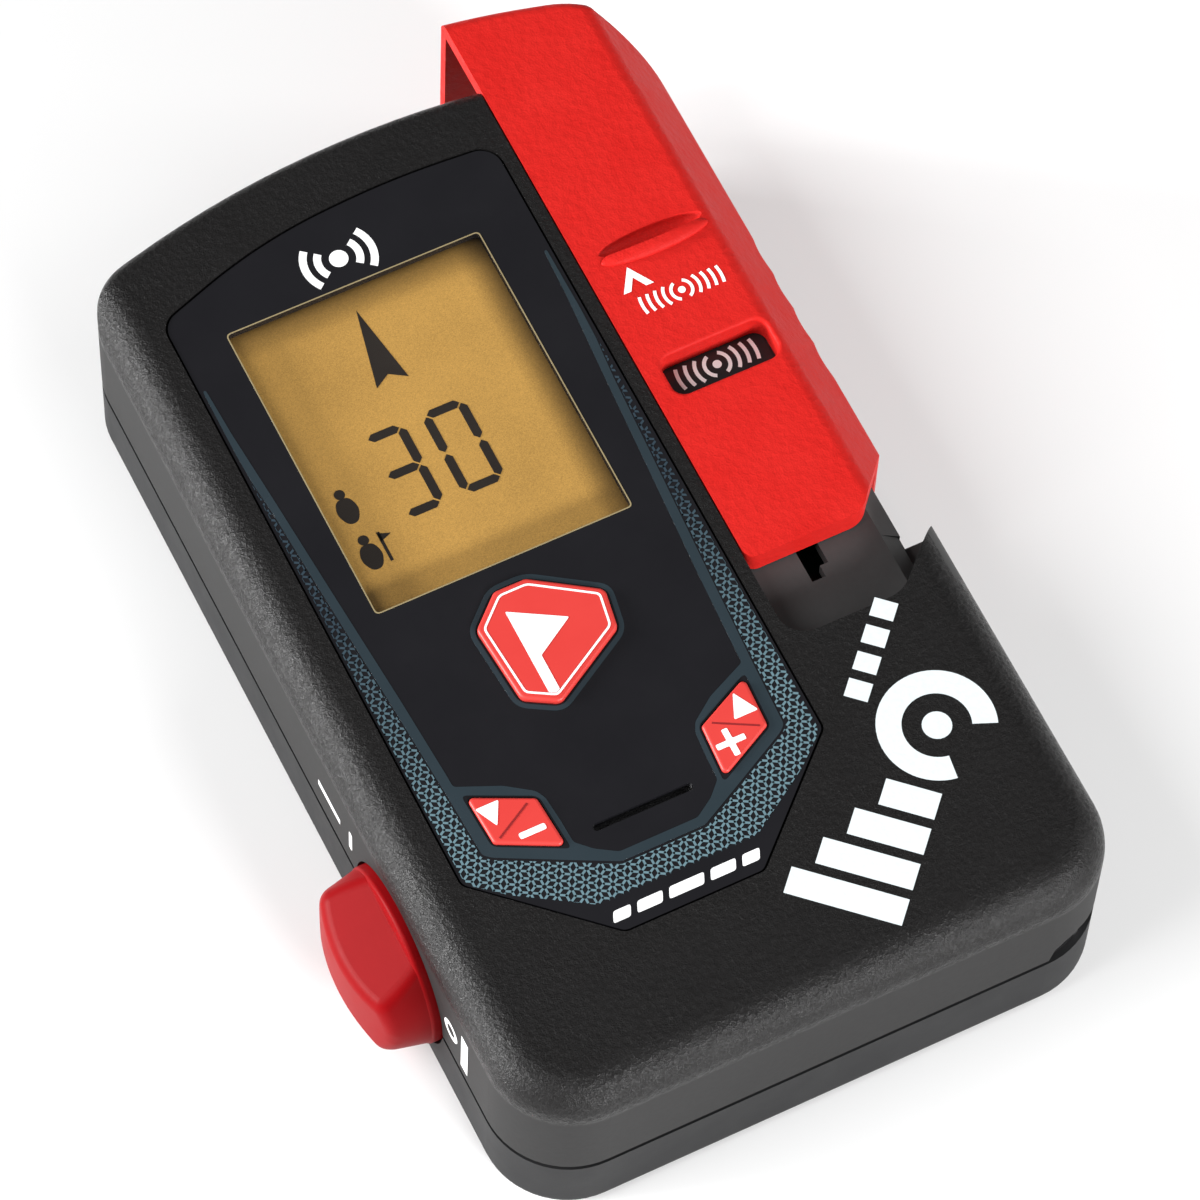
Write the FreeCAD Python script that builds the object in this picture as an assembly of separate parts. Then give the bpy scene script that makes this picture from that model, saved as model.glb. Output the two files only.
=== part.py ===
import FreeCAD, Part
import math
import os

# Avalanche transceiver, lying on its back. Millimetres, +Z out of the front face, +Y to the
# top end, +X to the side with the search slider. Everything is drawn with X from the middle
# of the body and Y from its bottom end; save() moves it so that the origin is the centre of
# the whole object's bounding box, on the flat back, with the slider pulled out.

# ---- driving dimensions ----
WIDTH = 70.0
LENGTH = 114.4
HEIGHT = 25.8
ORIGIN_X = -3.5        # centre of the bounding box, knob and pulled-out slider included
ORIGIN_Y = 61.47
PART_Z = 10.1          # plane where the two shells meet
GROOVE = 0.38          # half height of the visible groove between the shells
GROOVE_DEEP = 0.8
SEAL_IN = 1.05         # outer edge of the gasket, measured in from the sides
SEAL_W = 0.8
WALL = 2.2
CORNER_R = 9.3         # plan radius of the two bottom corners
TOP_CORNER_R = 7.0
ARCH_R = 110.0         # plan radius of the top end
ARCH_SLOPE = 15.0      # degrees, where the arch runs into the top corners
EDGE_R = 4.24          # rounding between the front face and the sides
ARCH_EDGE_R = 1.5
BACK_EDGE_R = 2.0
HALF = WIDTH / 2.0

# front fascia
OVERLAY_Z = 24.8
OVERLAY_TOP = 25.68
OVERLAY_GAP = 0.25
CAVITY_Z = 23.6
FASCIA_X = -8.2        # centreline of the fascia
WINDOW_X = -8.45
WINDOW_Y = 78.6
WINDOW_W = 29.7
WINDOW_L = 37.0

# search slider and its track
TRAVEL = 9.5
TRACK_LEFT = 14.3
TRACK_END = 38.6
TRACK_FLOOR = 22.6
TRACK_UNDER = 21.0
TRACK_WALL = 32.0
SKIRT_END = 46.0
TRACK_TOP_INSET = 1.9
SLIDER_LEFT = 14.5
SLIDER_TOP = 25.9
SLIDER_END = 39.4      # bottom edge of the slider when it is pushed in
SLIDER_INNER = 32.4
CAP_WALL = 1.5
SLIDER_ARCH_R = 95.0   # the slider's end is a little more curved than the body's
SLIDER_CORNER_R = 12.0
CAP_CORNER_R = 8.0      # rounding of the body under the slider's top right corner
SLIDER_EDGE_R = 1.5
FACET_X = 29.9         # sloping facet down the slider's right side
FACET_Z = 19.2
RIDGE_R = 2.0
CAP_LOW = 3.0
CAP_SIDE = 29.5
FOOT_X = 21.7
FOOT_Y = (58.3, 100.2)  # centres of the two feet with the slider pulled out
FOOT_L = 4.0
FOOT_W = 2.2
CARRIAGE_Z = 19.2      # plate under the track that holds the slider down
CARRIAGE_TOP = 20.8
MAGNET_Y = 78.0
DETENT_X = 24.2        # right edge of the carriage, where the two detent notches are
DETENT_Y = 66.0

# power knob on the left wall
KNOB_Y = 30.2
KNOB_Z = 10.6
KNOB_R = 10.0
POCKET_R = 10.35
POCKET_DEEP = 1.1
SHAFT_R = 2.0
SHAFT_FIT = 0.05

# lanyard slot and post at the bottom right corner
LANYARD_X = 29.6
LANYARD_Y = 3.0
LANYARD_R = 1.2

# antennas: one along the body, one across it, one upright
LONG_X = 25.4
LONG_Z = 8.0
LONG_Y = (22.0, 86.0)
CROSS_Y = 103.4
CROSS_Z = 8.0
CROSS_X = (-25.0, 17.0)
FERRITE_R = 3.2
COIL_R = 4.2
UP_X = -2.0
UP_Y = 81.0
UP_R = 12.0
UP_HUB_R = 7.5

# circuit board
BOARD_Z = 16.0
BOARD_TOP = 17.6

# buttons
BUTTON_TRAVEL = 0.5
BUTTON_GAP = 0.12
DOME_TOP = 18.35

# battery bay
CELL_R = 5.2
CELL_L = 44.5
CELL_Z = 7.9
CELL_PITCH = 11.2
BAY_HALF = 17.0
BAY_LOW = 9.2
BAY_HIGH = 57.4
BAY_TOP = 13.4
BAY_WALL = 1.2
LEDGE_Z = 1.75
DOOR_HALF = 19.5
DOOR_LOW = 2.4
DOOR_HIGH = 58.9
HINGE_Y = 61.6
HINGE_Z = 1.75
DOOR_SCREW_Y = 5.4

SCREWS = ((-28.6, 6.4), (28.0, 15.6), (-29.4, 48.0), (-29.4, 100.5), (27.2, 97.0))

V = FreeCAD.Vector


# ---- small helpers ----
def box(x0, x1, y0, y1, z0, z1):
    return Part.makeBox(x1 - x0, y1 - y0, z1 - z0, V(x0, y0, z0))


def rod_x(y, z, r, x0, x1):
    return Part.makeCylinder(r, x1 - x0, V(x0, y, z), V(1, 0, 0))


def rod_y(x, z, r, y0, y1):
    return Part.makeCylinder(r, y1 - y0, V(x, y0, z), V(0, 1, 0))


def rod_z(x, y, r, z0, z1):
    return Part.makeCylinder(r, z1 - z0, V(x, y, z0), V(0, 0, 1))


def ring_z(x, y, r_out, r_in, z0, z1):
    return rod_z(x, y, r_out, z0, z1).cut(rod_z(x, y, r_in, z0 - 1, z1 + 1))


def ring_x(y, z, r_out, r_in, x0, x1):
    return rod_x(y, z, r_out, x0, x1).cut(rod_x(y, z, r_in, x0 - 1, x1 + 1))


def join(shapes):
    first = shapes[0]
    return first.multiFuse(list(shapes[1:])).removeSplitter() if len(shapes) > 1 else first


def rounded_wire(points):
    """Closed wire through corner points (x, y, radius), with a tangent arc at each corner."""
    edges = []
    ends = []
    count = len(points)
    for i in range(count):
        here = V(points[i][0], points[i][1], 0)
        before = V(points[i - 1][0], points[i - 1][1], 0)
        after = V(points[(i + 1) % count][0], points[(i + 1) % count][1], 0)
        way_in = (here - before).normalize()
        way_out = (after - here).normalize()
        turn = way_in.getAngle(way_out)
        r = points[i][2]
        if r < 1e-6 or turn < 1e-6:
            ends.append((here, here, None))
            continue
        reach = r * math.tan(turn / 2)
        start = here - way_in * reach
        stop = here + way_out * reach
        inward = (way_out - way_in).normalize()
        middle = here + inward * (r / math.cos(turn / 2) - r)
        ends.append((start, stop, middle))
    for i in range(count):
        start, stop, middle = ends[i]
        last = ends[i - 1][1]
        if (start - last).Length > 1e-6:
            edges.append(Part.LineSegment(last, start).toShape())
        if middle is not None:
            edges.append(Part.Arc(start, middle, stop).toShape())
    return Part.Wire(edges)


def prism(points, z0, z1, grow=0.0):
    """Solid of a rounded outline between two heights; grow moves the outline outwards."""
    wire = rounded_wire(points)
    if abs(grow) > 1e-6:
        wire = wire.makeOffset2D(grow)
    face = Part.Face(wire)
    face.translate(V(0, 0, z0))
    return face.extrude(V(0, 0, z1 - z0))


def prism_y(points, y0, y1):
    """Solid of a polygon given as (x, z), run along Y."""
    wire = Part.makePolygon([V(x, y0, z) for x, z in points] + [V(points[0][0], y0, points[0][1])])
    return Part.Face(wire).extrude(V(0, y1 - y0, 0))


def plate(x0, x1, y0, y1, r, z0, z1):
    return prism([(x0, y0, r), (x1, y0, r), (x1, y1, r), (x0, y1, r)], z0, z1)


def body_outline(left=0.0, right=0.0, bottom=0.0, top=0.0, corner=None, top_corner=None, arch_r=ARCH_R):
    """Plan outline of the body, moved in by the four insets; the top end's radius can be smaller."""
    slope = math.radians(ARCH_SLOPE)
    low_r = CORNER_R - bottom if corner is None else corner
    high_r = max(TOP_CORNER_R - top, 1.0) if top_corner is None else top_corner
    x0 = -HALF + left
    x1 = HALF - right
    arch = arch_r - top
    apex = LENGTH - ARCH_R + (ARCH_R - top) / math.cos(slope)
    return [
        (x0, bottom, low_r),
        (x1, bottom, low_r),
        (x1, apex - x1 * math.tan(slope), high_r),
        (0.0, apex, arch),
        (x0, apex + x0 * math.tan(slope), high_r),
    ]


def edges_at(shape, z, keep=lambda centre: True):
    """Edges that lie flat at height z."""
    found = []
    for edge in shape.Edges:
        bb = edge.BoundBox
        if abs(bb.ZMin - z) < 1e-4 and abs(bb.ZMax - z) < 1e-4 and keep(edge.CenterOfMass):
            found.append(edge)
    return found


def save(name, shape):
    moved = shape.copy()
    moved.translate(V(-ORIGIN_X, -ORIGIN_Y, 0))
    os.makedirs("parts", exist_ok=True)
    solids = moved.Solids
    kept = solids[0] if len(solids) == 1 else Part.makeCompound(solids)
    kept.exportStep("parts/" + name + ".step")
    box_of = kept.BoundBox
    print("%-24s solids %2d valid %s volume %9.1f  x %6.1f %6.1f  y %6.1f %6.1f  z %5.1f %5.1f" % (
        name, len(solids), kept.isValid(), kept.Volume,
        box_of.XMin, box_of.XMax, box_of.YMin, box_of.YMax, box_of.ZMin, box_of.ZMax))


# ---- outlines shared by several pieces ----
def fascia_outline():
    """Glossy fascia: straight sides, a V-shaped foot and an arched head."""
    return [
        (FASCIA_X - 20.7, 28.1, 1.2),
        (FASCIA_X - 7.9, 16.25, 1.2),
        (FASCIA_X + 7.9, 16.25, 1.2),
        (FASCIA_X + 20.8, 28.1, 1.2),
        (FASCIA_X + 20.8, 106.3, 2.5),
        (1.0, 107.1, 90.0),
        (-15.0, 106.1, 60.0),
        (FASCIA_X - 20.7, 101.3, 2.5),
    ]


MARK_BUTTON = [
    (-11.3, 56.9, 1.0), (-14.9, 53.6, 1.0), (-14.2, 44.4, 1.0), (-10.6, 42.3, 1.0),
    (-1.4, 47.6, 1.0), (-0.6, 52.2, 1.0), (-7.6, 56.9, 1.0),
]
STEP_BUTTON = [  # plus side, measured from the fascia's centreline
    (16.1, 36.8, 0.5), (9.5, 33.6, 0.5), (9.1, 27.4, 0.5), (15.8, 30.8, 0.5),
]


def step_outline(side):
    points = [(FASCIA_X + side * x, y, r) for x, y, r in STEP_BUTTON]
    return points if side < 0 else points[::-1]


def recess_outline():
    """Plan of the slider's recess in the front face; it runs out of the right side and the top."""
    slant = (45.56 - TRACK_END) / (34.87 - 27.6)
    return [
        (TRACK_LEFT, TRACK_END, 3.0),
        (27.6, TRACK_END, 4.0),
        (38.0, TRACK_END + (38.0 - 27.6) * slant, 0.0),
        (38.0, LENGTH + 3.0, 0.0),
        (TRACK_LEFT, LENGTH + 3.0, 0.0),
    ]


# ---- shells ----
def front_housing():
    outline = body_outline()
    block = prism(outline, PART_Z, HEIGHT)
    block = block.makeFillet(ARCH_EDGE_R, edges_at(block, HEIGHT))
    long_box = prism(
        [(-HALF, 0, CORNER_R), (HALF, 0, CORNER_R), (HALF, LENGTH + 20, 0), (-HALF, LENGTH + 20, 0)],
        PART_Z - 2, HEIGHT)
    long_box = long_box.makeFillet(
        EDGE_R, edges_at(long_box, HEIGHT, lambda c: c.y < LENGTH + 10))
    shell = block.common(long_box)

    cavity = prism(body_outline(WALL, WALL, WALL, WALL), PART_Z - 1, CAVITY_Z)
    track_zone = box(TRACK_LEFT - 1.6, HALF + 1, TRACK_END - 1.6, LENGTH + 1, 0, HEIGHT + 1)
    under_track = prism_y([(0, 0), (30.2, 0), (30.2, 19.0), (28.2, TRACK_UNDER), (0, TRACK_UNDER)],
                          TRACK_END - 1.7, LENGTH)
    inner = prism(body_outline(WALL, 4.8, WALL, 3.7, top_corner=4.5, arch_r=SLIDER_ARCH_R),
                  PART_Z - 1, CAVITY_Z)
    cavity = cavity.cut(track_zone).fuse(under_track.common(inner).common(track_zone))
    # solid corner behind the lanyard slot, and a rim round the knob's bearing
    cavity = cavity.cut(box(23.6, HALF, 0, 8.4, PART_Z - 1, 15.2))
    cavity = cavity.cut(box(-HALF, -30.6, KNOB_Y - 4.6, KNOB_Y + 4.6, PART_Z - 1, KNOB_Z + 4.6))
    shell = shell.cut(cavity)

    # screw bosses
    for x, y in SCREWS:
        top = TRACK_UNDER + 0.1 if x > TRACK_LEFT and y > TRACK_END else CAVITY_Z + 0.1
        shell = shell.fuse(rod_z(x, y, 2.9, PART_Z, top))
    # posts that carry the board's right edge
    shell = shell.fuse(rod_z(29.0, 24.0, 2.0, BOARD_TOP, CAVITY_Z + 0.1))
    shell = shell.fuse(rod_z(-30.0, 66.0, 2.0, BOARD_TOP, CAVITY_Z + 0.1))

    # track of the search slider
    shell = shell.cut(prism(recess_outline(), TRACK_FLOOR, HEIGHT + 3))
    shell = shell.cut(prism_y(
        [(29.5, TRACK_FLOOR), (TRACK_WALL, 20.2), (TRACK_WALL, PART_Z - 1),
         (38, PART_Z - 1), (38, 30), (29.5, 30)], SKIRT_END, LENGTH + 3))
    notch = prism_y([(29.5, TRACK_FLOOR), (TRACK_WALL - 0.3, 20.2), (TRACK_WALL - 0.3, FACET_Z - 0.3),
                     (38, FACET_Z - 0.3), (38, 30), (29.5, 30)], TRACK_END, SKIRT_END + 1)
    shell = shell.cut(notch.common(prism(recess_outline(), PART_Z, HEIGHT + 3)))
    shell = shell.cut(cap_space(PART_Z - 1, HALF + 1))
    for y in FOOT_Y:
        low = y - FOOT_L / 2 - TRAVEL - 0.3
        high = y + FOOT_L / 2 + 0.3
        shell = shell.cut(box(FOOT_X - 1.3, FOOT_X + 1.3, low, high, TRACK_UNDER - 1, TRACK_FLOOR + 1))
    shell = shell.cut(box(FOOT_X - 1.3, FOOT_X + 0.3, 45.1, 47.0, TRACK_UNDER - 1, TRACK_FLOOR + 1))
    shell = shell.cut(plate(15.4, 29.2, 61.0, 76.7, 0.6, TRACK_FLOOR - 0.01, TRACK_FLOOR + 0.2))

    # fascia recess and the openings under it
    shell = shell.cut(prism(fascia_outline(), OVERLAY_Z, HEIGHT + 1, OVERLAY_GAP))
    shell = shell.cut(box(WINDOW_X - 17.7, WINDOW_X + 17.7, 57.4, 99.8, CAVITY_Z - 1, OVERLAY_Z + 1))
    for outline in (MARK_BUTTON, step_outline(-1), step_outline(1)):
        shell = shell.cut(prism(outline, CAVITY_Z - 1, HEIGHT + 1, BUTTON_GAP))
    shell = shell.cut(speaker_slot(CAVITY_Z - 1, HEIGHT + 1))

    # groove along the joint, knob pocket, bearing, lanyard slot and pilot holes
    shell = shell.cut(joint_groove())
    shell = shell.cut(knob_space())
    shell = shell.cut(lanyard_slot())
    shell = shell.cut(rod_z(LANYARD_X, LANYARD_Y, LANYARD_R, PART_Z - 1, 15.0))
    for x, y in SCREWS:
        shell = shell.cut(rod_z(x, y, 1.15, PART_Z - 1, 16.5))
    return shell.removeSplitter()


def lanyard_slot():
    """Opening round the bottom right corner, just above the joint, with an arched top."""
    low = PART_Z - 1
    outline = [(25.8, low), (25.8, 10.6), (26.3, 12.6), (27.6, 13.5), (29.6, 13.7),
               (31.6, 12.9), (33.0, 11.6), (33.8, 10.4), (33.8, low)]
    return prism_y(outline, -1.0, 6.2).common(box(0, HALF + 1, -2, 10, PART_Z, 20))


def cap_space(low, right):
    """Room for the slider's end cap around the top end of the body."""
    zone = box(TRACK_LEFT, right, 80, LENGTH + 3, low, 40)
    outline = body_outline(0, HALF - TRACK_WALL, 0, TRACK_TOP_INSET, top_corner=CAP_CORNER_R,
                           arch_r=SLIDER_ARCH_R)
    return zone.cut(prism(outline, low - 1, 41))


def joint_groove():
    outer = prism(body_outline(-1, -1, -1, -1), PART_Z - GROOVE, PART_Z + GROOVE)
    inner = prism(body_outline(GROOVE_DEEP, GROOVE_DEEP, GROOVE_DEEP, GROOVE_DEEP),
                  PART_Z - 1, PART_Z + 1)
    return outer.cut(inner)


def knob_space():
    pocket = rod_x(KNOB_Y, KNOB_Z, POCKET_R, -HALF - 1, -HALF + POCKET_DEEP)
    bearing = rod_x(KNOB_Y, KNOB_Z, SHAFT_R + SHAFT_FIT, -HALF, -30.0)
    groove = rod_x(KNOB_Y, KNOB_Z, 3.1, -32.6, -31.2)
    return pocket.fuse(bearing).fuse(groove)


def speaker_slot(z0, z1):
    y = 28.0
    ends = rod_z(-13.55, y, 0.45, z0, z1).fuse(rod_z(-2.95, y, 0.45, z0, z1))
    return ends.fuse(box(-13.55, -2.95, y - 0.45, y + 0.45, z0, z1))


def seal_ring(z0, z1):
    """Gasket in the rear shell's rim; it steps inside the lanyard slot and stops at the knob."""
    path = body_outline(SEAL_IN, 3.1, SEAL_IN, 2.3, top_corner=3.4, arch_r=SLIDER_ARCH_R)
    path[2] = (path[2][0], path[2][1], CAP_CORNER_R - 0.6)
    step = [(25.0, SEAL_IN, 0.6), (25.0, 7.0, 1.0), (HALF - 3.1, 7.0, 1.0)]
    path = path[:1] + step + path[2:]
    ring = prism(path, z0, z1).cut(prism(path, z0 - 1, z1 + 1, -SEAL_W))
    return ring.cut(box(-HALF, -30, KNOB_Y - 3.4, KNOB_Y + 3.4, z0 - 1, z1 + 1))


def rear_housing():
    block = prism(body_outline(), 0, PART_Z)
    block = block.makeFillet(BACK_EDGE_R, edges_at(block, 0))
    # the rim is wider on the right and at the top, where the front shell steps in for the slider
    cavity = prism(body_outline(WALL, 4.8, WALL, 3.7, top_corner=4.5, arch_r=SLIDER_ARCH_R),
                   WALL, PART_Z + 1)
    cavity = cavity.cut(box(23.4, HALF, 0, 8.6, 0, PART_Z + 2))
    cavity = cavity.cut(box(-HALF, -30.6, KNOB_Y - 4.6, KNOB_Y + 4.6, 0, PART_Z + 2))
    shell = block.cut(cavity)

    # door frame, battery well, hinge lug block and screw block
    shell = shell.fuse(box(-20.9, 20.9, 1.2, 66.0, 0.5, 3.4))
    shell = shell.fuse(box(-BAY_HALF - BAY_WALL, BAY_HALF + BAY_WALL, BAY_LOW - BAY_WALL,
                           BAY_HIGH + BAY_WALL, 0.5, BAY_TOP + BAY_WALL))
    shell = shell.fuse(box(-16.5, 16.5, 58.0, 65.4, 0.5, 5.0))
    shell = shell.fuse(box(-4.6, 4.6, 2.0, BAY_LOW, 0.5, 7.6))
    for x, y in SCREWS:
        shell = shell.fuse(rod_z(x, y, 3.5, 1.0, PART_Z))
    shell = shell.common(prism(body_outline(), -1, 40))

    # battery bay and door recess
    shell = shell.cut(box(-BAY_HALF, BAY_HALF, BAY_LOW, BAY_HIGH, -1, BAY_TOP))
    shell = shell.cut(plate(-DOOR_HALF - 0.3, DOOR_HALF + 0.3, DOOR_LOW - 0.3, 59.7, 1.5, -1, LEDGE_Z))
    shell = shell.cut(box(-10.3, 10.3, 59.0, HINGE_Y + 1.9, -1, HINGE_Z))
    shell = shell.cut(rod_x(HINGE_Y, HINGE_Z, 1.9, -10.3, 10.3))
    shell = shell.cut(rod_x(HINGE_Y, HINGE_Z, 0.6, -15, 15))
    shell = shell.cut(rod_z(0, DOOR_SCREW_Y, 1.4, 0, 3.5))
    shell = shell.cut(rod_z(0, DOOR_SCREW_Y, 2.3, 3.4, 6.4))

    # screws, knob, groove, cap and gasket
    for x, y in SCREWS:
        shell = shell.cut(rod_z(x, y, 2.5, -1, 3.2))
        shell = shell.cut(rod_z(x, y, 1.4, -1, PART_Z + 1))
    shell = shell.cut(joint_groove())
    shell = shell.cut(knob_space())
    shell = shell.cut(cap_space(CAP_LOW - 0.4, CAP_SIDE + 0.3))
    shell = shell.cut(seal_ring(PART_Z - 0.8, PART_Z + 1))
    shell = shell.cut(rod_z(LANYARD_X, LANYARD_Y, LANYARD_R, 6.0, PART_Z + 1))
    return shell.removeSplitter()


# ---- display and fascia ----
def front_overlay():
    sheet = prism(fascia_outline(), OVERLAY_Z, OVERLAY_TOP)
    sheet = sheet.cut(window_plate(OVERLAY_Z - 1, OVERLAY_TOP + 1))
    for outline in (MARK_BUTTON, step_outline(-1), step_outline(1)):
        sheet = sheet.cut(prism(outline, OVERLAY_Z - 1, OVERLAY_TOP + 1, BUTTON_GAP))
    return sheet.cut(speaker_slot(OVERLAY_Z - 1, OVERLAY_TOP + 1))


def window_plate(z0, z1):
    return plate(WINDOW_X - WINDOW_W / 2, WINDOW_X + WINDOW_W / 2,
                 WINDOW_Y - WINDOW_L / 2, WINDOW_Y + WINDOW_L / 2, 0.5, z0, z1)


def lcd_parts():
    half_w = 16.5
    low = 58.5
    high = 98.7
    glass = box(WINDOW_X - half_w, WINDOW_X + half_w, low, high, 22.5, 24.1)
    light = box(WINDOW_X - half_w, WINDOW_X + half_w, low + 3.0, high, 20.8, 22.4)
    frame = box(WINDOW_X - 17.5, WINDOW_X + 17.5, 57.6, 99.6, BOARD_TOP, 23.4)
    frame = frame.cut(box(WINDOW_X - half_w, WINDOW_X + half_w, low, high, 20.8, 24))
    frame = frame.cut(box(WINDOW_X - 15.5, WINDOW_X + 15.5, 63, 97, BOARD_TOP - 1, 19.6))
    frame = frame.cut(box(WINDOW_X - half_w, WINDOW_X + half_w, low, low + 2.4, BOARD_TOP - 1, 24))
    strips = []
    for side in (-1, 1):
        x = WINDOW_X + side * 8.4
        strips.append(box(x - 7.4, x + 7.4, low + 0.2, low + 2.2, BOARD_TOP, 22.5))
    return glass, light, frame, Part.makeCompound(strips)


def button(outline, top, stem_x, stem_y):
    """A rigid cap with a flange under the front wall and a stem over its switch."""
    cap = prism(outline, 22.6, top)
    cap = cap.makeFillet(0.35, edges_at(cap, top))
    flange = prism(outline, 22.4, 23.4, 0.75).common(box(-40, 40, 0, 57.2, 20, 25))
    stem = rod_z(stem_x, stem_y, 1.5, DOME_TOP + BUTTON_TRAVEL + 0.05, 22.5)
    return join([cap, flange, stem])


BUTTON_CENTRES = ((-8.3, 49.6), (FASCIA_X - 12.6, 32.2), (FASCIA_X + 12.6, 32.2))


def switch_domes():
    domes = []
    for x, y in BUTTON_CENTRES:
        base = rod_z(x, y, 2.4, BOARD_TOP, BOARD_TOP + 0.25)
        ball_r = 4.6
        ball = Part.makeSphere(ball_r, V(x, y, DOME_TOP - ball_r))
        cap = ball.common(rod_z(x, y, 2.2, BOARD_TOP + 0.2, DOME_TOP + 1))
        domes.append(base.fuse(cap).removeSplitter())
    return Part.makeCompound(domes)


# ---- circuit board ----
def main_board():
    board = prism(body_outline(3.2, 5.6, 3.2, 5.2, corner=5.0, top_corner=2.0), BOARD_Z, BOARD_TOP)
    board = board.cut(box(23.0, 40, 0, 9.0, 0, 30))
    for x, y in SCREWS:
        board = board.cut(rod_z(x, y, 3.2, 0, 30))
    for x, y in ((29.0, 24.0), (-30.0, 66.0)):
        board = board.cut(rod_z(x, y, 0.8, 0, 30))
    return board.Solids[0]


def board_chips():
    top_side = ((13.0, 46.0, 7.0, 7.0, 1.0), (-21.0, 46.0, 5.0, 5.0, 0.9), (12.5, 20.0, 6.0, 4.0, 1.2),
                (-22.0, 16.0, 4.0, 6.0, 1.4), (13.5, 70.0, 2.0, 3.0, 0.7))
    chips = [box(x - w / 2, x + w / 2, y - l / 2, y + l / 2, BOARD_TOP, BOARD_TOP + h)
             for x, y, w, l, h in top_side]
    return Part.makeCompound(chips)


def buzzer_parts():
    x = FASCIA_X
    y = 28.0
    can = rod_z(x, y, 6.4, BOARD_TOP, 22.1)
    can = can.makeFillet(0.4, edges_at(can, 22.1))
    can = can.cut(rod_z(x, y, 1.0, 21.0, 23))
    gasket = ring_z(x, y, 6.2, 5.0, 22.1, 23.3)
    membrane = rod_z(x, y, 6.3, 23.3, CAVITY_Z)
    return can, gasket, membrane


# ---- search slider ----
def slider_outline():
    """Plan outline of the slider's block: the body's, with a more curved end and rounder corners."""
    slope = math.radians(ARCH_SLOPE)
    apex = LENGTH - ARCH_R + ARCH_R / math.cos(slope) - 0.36
    corner_y = apex - HALF * math.tan(slope)
    return [(-HALF, 0, CORNER_R), (HALF, 0, CORNER_R), (HALF, corner_y, SLIDER_CORNER_R),
            (0.0, apex, SLIDER_ARCH_R), (-HALF, corner_y, SLIDER_CORNER_R)]


def search_slider():
    block = prism(slider_outline(), CAP_LOW, SLIDER_TOP)
    block = block.makeFillet(SLIDER_EDGE_R, edges_at(block, SLIDER_TOP))
    facet = prism_y([(FACET_X, SLIDER_TOP), (HALF, FACET_Z), (40, FACET_Z), (40, 30), (FACET_X, 30)],
                    -5, LENGTH + 5)
    block = block.cut(facet)
    ridge = [e for e in block.Edges if e.BoundBox.ZMin > SLIDER_TOP - 1.0
             and abs(e.BoundBox.XMin - FACET_X) < 0.1 and abs(e.BoundBox.XMax - FACET_X) < 0.1]
    block = block.makeFillet(RIDGE_R, ridge)
    slant = (47.8 - SLIDER_END) / (HALF - 28.2)
    plan = prism(
        [(SLIDER_LEFT, SLIDER_END, 1.5), (28.2, SLIDER_END, 3.0),
         (38.0, SLIDER_END + (38.0 - 28.2) * slant, 0), (38.0, LENGTH + 5, 0), (SLIDER_LEFT, LENGTH + 5, 0)],
        -1, 40)
    block = block.common(plan)
    # hollow that slides over the body
    under = TRACK_FLOOR + 0.3
    core_outline = body_outline(0, HALF - SLIDER_INNER, 0, CAP_WALL, top_corner=CAP_CORNER_R,
                                arch_r=SLIDER_ARCH_R)
    core = prism(core_outline, -1, 40)
    profile = prism_y([(0, -2), (SLIDER_INNER, -2), (SLIDER_INNER, under - 2.9),
                       (29.5, under), (0, under)], -2, LENGTH + 2)
    high = prism_y([(0, -2), (29.5, -2), (29.5, under + 0.5), (29.0, under + 1.0), (0, under + 1.0)],
                   101.0, LENGTH + 2)
    block = block.cut(core.common(profile)).cut(core.common(high))
    # the skirt stops above the rear shell; only the end cap reaches down over it
    block = block.cut(box(0, 40, -2, SKIRT_END + 0.3, -1, FACET_Z))
    block = block.cut(box(0, FACET_X, -2, SKIRT_END + 0.3, -1, under))
    block = block.cut(box(0, 40, -2, 96.0, -1, PART_Z + 0.5))
    block = block.cut(box(CAP_SIDE, 40, -2, LENGTH + 2, -1, PART_Z + 0.5))
    block.translate(V(0, TRAVEL, 0))
    # window, thumb grip and finger scallops
    block = block.cut(plate(16.7, 29.3, 69.6, 74.7, 1.5, TRACK_FLOOR, SLIDER_TOP + 1))
    lip = edges_at(block, SLIDER_TOP, lambda c: 16.0 < c.x < 29.8 and 69.0 < c.y < 75.5)
    block = block.makeFillet(0.4, lip)
    for y in (70.0, 74.9, 79.65, 84.5):
        block = block.cut(rod_z(HALF + 7.5, y, 8.0, 5.0, HEIGHT + 1))
    block = block.fuse(lens(23.0, 87.7, SLIDER_TOP, 6.4, 1.3, 0.8))
    block = block.cut(lens(23.0, 88.9, SLIDER_TOP + 0.25, 6.4, 1.15, 1.2))
    feet = []
    for y in FOOT_Y:
        feet.append(box(FOOT_X - FOOT_W / 2, FOOT_X + FOOT_W / 2, y - FOOT_L / 2, y + FOOT_L / 2,
                        20.85, under + 0.4))
    block = block.multiFuse(feet).removeSplitter()
    for y in FOOT_Y:
        block = block.cut(rod_z(FOOT_X, y, 0.6, 20, 23.0))
    return block


def lens(x, y, z, half_x, half_y, half_z):
    """Ellipsoid used for the thumb grip's hollow and lip."""
    ball = Part.makeSphere(1.0)
    matrix = FreeCAD.Matrix()
    matrix.scale(half_x, half_y, half_z)
    grown = ball.transformGeometry(matrix)
    grown.translate(V(x, y, z))
    return grown


def slider_carriage():
    bar = plate(17.8, 23.6, 52.0, 104.0, 1.0, CARRIAGE_Z, CARRIAGE_TOP)
    for y in FOOT_Y:
        bar = bar.cut(rod_z(FOOT_X, y, 0.65, 18, 22))
    bar = bar.cut(rod_z(FOOT_X, MAGNET_Y, 2.0, 19.4, 22))
    for y in (DETENT_Y, DETENT_Y + TRAVEL):
        bar = bar.cut(rod_z(DETENT_X, y, 1.0, 18, 22))
    return bar


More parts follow.
